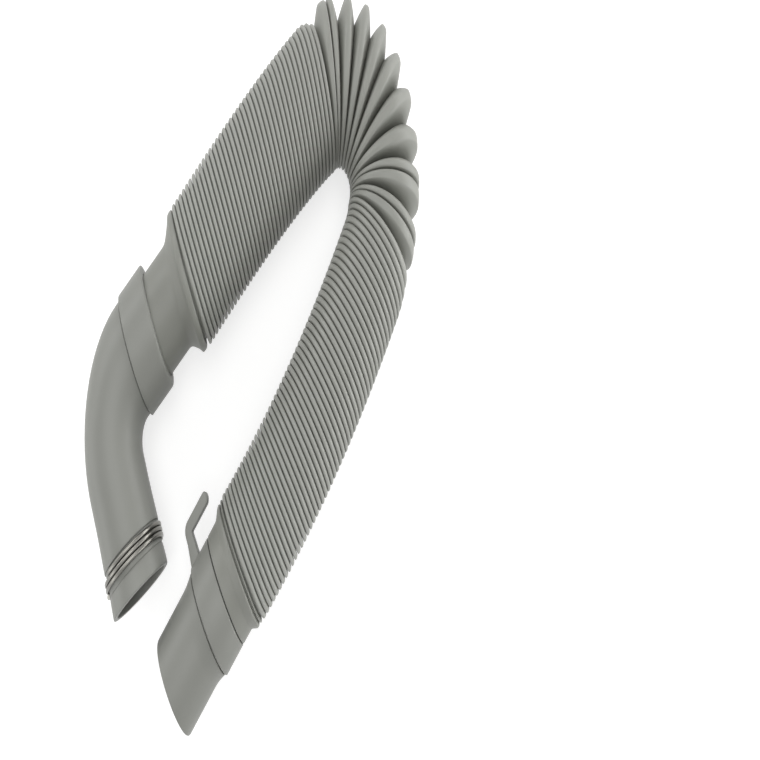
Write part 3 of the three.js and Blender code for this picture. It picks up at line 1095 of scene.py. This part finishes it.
def seen_directly(tree):
    """1 for a ray from the camera, off something glossy or through something clear, else 0."""
    path = add_node(tree, "ShaderNodeLightPath").outputs
    rays = path["Is Camera Ray"]
    for kind in ("Is Glossy Ray", "Is Transmission Ray"):
        rays = add_node(tree, "ShaderNodeMath", {0: rays, 1: path[kind]}, operation="MAXIMUM")
    return rays


class HOSE_OT_stage(bpy.types.Operator):
    """Lays the pale floor and sets the soft lights and the camera"""

    bl_idname = "hose.stage"
    bl_label = "Stage"

    def execute(self, context):
        scene = context.scene
        scene.view_settings.view_transform = "Standard"
        self.floor(scene)
        self.world(scene)
        place = Vector((0, 0, OVERHEAD_HEIGHT))
        self.lamp(scene, "overhead", place, OVERHEAD_SIZE, OVERHEAD_SIZE, OVERHEAD_POWER)
        for name, angle, height, power in SIDE_LAMPS:
            place = heading(angle) * SIDE_DISTANCE + Vector((0, 0, height))
            self.lamp(scene, name, place, SIDE_LENGTH, SIDE_HEIGHT, power)
        self.camera(scene)
        return {"FINISHED"}

    def floor(self, scene):
        """A round plain floor that shows white and keeps the hose's soft shadow."""
        mesh = bpy.data.meshes.new("floor")
        angles = [360 * k / FLOOR_CORNERS for k in range(FLOOR_CORNERS)]
        rim = [heading(angle) * FLOOR_RADIUS for angle in angles]
        mesh.from_pydata(rim, [], [tuple(range(FLOOR_CORNERS))])
        material, tree = new_material("pale_floor")
        glow = add_node(
            tree, "ShaderNodeMath", {0: seen_directly(tree), 1: FLOOR_GLOW}, operation="MULTIPLY"
        )
        shader = add_node(
            tree,
            "ShaderNodeBsdfPrincipled",
            {
                "Base Color": linear(scene.hose_colours.floor),
                "Roughness": 0.9,
                "Specular IOR Level": 0,
                "Emission Color": (1, 1, 1, 1),
                "Emission Strength": glow,
            },
        )
        add_node(tree, "ShaderNodeOutputMaterial", {"Surface": shader})
        mesh.materials.append(material)
        floor = bpy.data.objects.new("floor", mesh)
        scene.collection.objects.link(floor)

    def world(self, scene):
        """White all round where it is seen, softer where it lights."""
        world = bpy.data.worlds.new("studio")
        scene.world = world
        world.use_nodes = True
        tree = world.node_tree
        tree.nodes.clear()
        strength = add_node(
            tree,
            "ShaderNodeMapRange",
            {"Value": seen_directly(tree), "To Min": WORLD_LIGHT, "To Max": 1},
        )
        light = add_node(
            tree, "ShaderNodeBackground", {"Color": (1, 1, 1, 1), "Strength": strength}
        )
        add_node(tree, "ShaderNodeOutputWorld", {"Surface": light})

    def lamp(self, scene, name, place, width, height, power):
        """A soft light that faces the hose."""
        light = bpy.data.lights.new(name, "AREA")
        light.shape = "RECTANGLE"
        light.size = width
        light.size_y = height
        light.energy = power
        lamp = bpy.data.objects.new(name, light)
        lamp.location = place
        lamp.rotation_euler = (-place).to_track_quat("-Z", "Y").to_euler()
        lamp.visible_camera = False
        scene.collection.objects.link(lamp)

    def camera(self, scene):
        """A camera straight above the hose, with the lens sheet close in front of it."""
        lens = bpy.data.cameras.new("camera")
        lens.lens = LENS
        lens.sensor_width = SENSOR
        lens.clip_start = NEAR_CLIP
        camera = bpy.data.objects.new("camera", lens)
        camera.location = (0, 0, CAMERA_HEIGHT)
        scene.collection.objects.link(camera)
        scene.camera = camera
        half = SENSOR / 2 / LENS * SHEET_DROP * SHEET_MARGIN
        mesh = bpy.data.meshes.new("lens_sheet")
        mesh.from_pydata(
            [(-half, -half, 0), (half, -half, 0), (half, half, 0), (-half, half, 0)],
            [],
            [(0, 1, 2, 3)],
        )
        mesh.materials.append(lens_material(photo_camera_place(scene.hose_bellows)))
        sheet = bpy.data.objects.new("lens_sheet", mesh)
        sheet.location = (0, 0, CAMERA_HEIGHT - SHEET_DROP)
        for kind in ("diffuse", "glossy", "transmission", "volume_scatter", "shadow"):
            setattr(sheet, "visible_" + kind, False)
        scene.collection.objects.link(sheet)


STEPS = (
    HOSE_OT_bellows,
    HOSE_OT_elbow,
    HOSE_OT_clip,
    HOSE_OT_spout,
    HOSE_OT_stage,
)


class HOSE_PT_panel(bpy.types.Panel):
    """Lists the hose's pieces in the sidebar"""

    bl_idname = "HOSE_PT_panel"
    bl_label = "Drain Hose"
    bl_space_type = "VIEW_3D"
    bl_region_type = "UI"
    bl_category = "Drain Hose"

    def draw(self, context):
        for step in STEPS:
            self.layout.operator(step.bl_idname)


GROUPS = {
    "hose_bellows": BellowsSizes,
    "hose_mouldings": MouldingSizes,
    "hose_clip": ClipSizes,
    "hose_colours": FinishColours,
}
CLASSES = (*GROUPS.values(), *STEPS, HOSE_PT_panel)


def register():
    for kind in CLASSES:
        bpy.utils.register_class(kind)
    for name, group in GROUPS.items():
        setattr(bpy.types.Scene, name, bpy.props.PointerProperty(type=group))


def unregister():
    for name in GROUPS:
        delattr(bpy.types.Scene, name)
    for kind in reversed(CLASSES):
        bpy.utils.unregister_class(kind)


def main():
    """Builds every piece and the stage."""
    register()
    for step in STEPS:
        family, name = step.bl_idname.split(".")
        getattr(getattr(bpy.ops, family), name)()


if __name__ == "__main__":
    main()
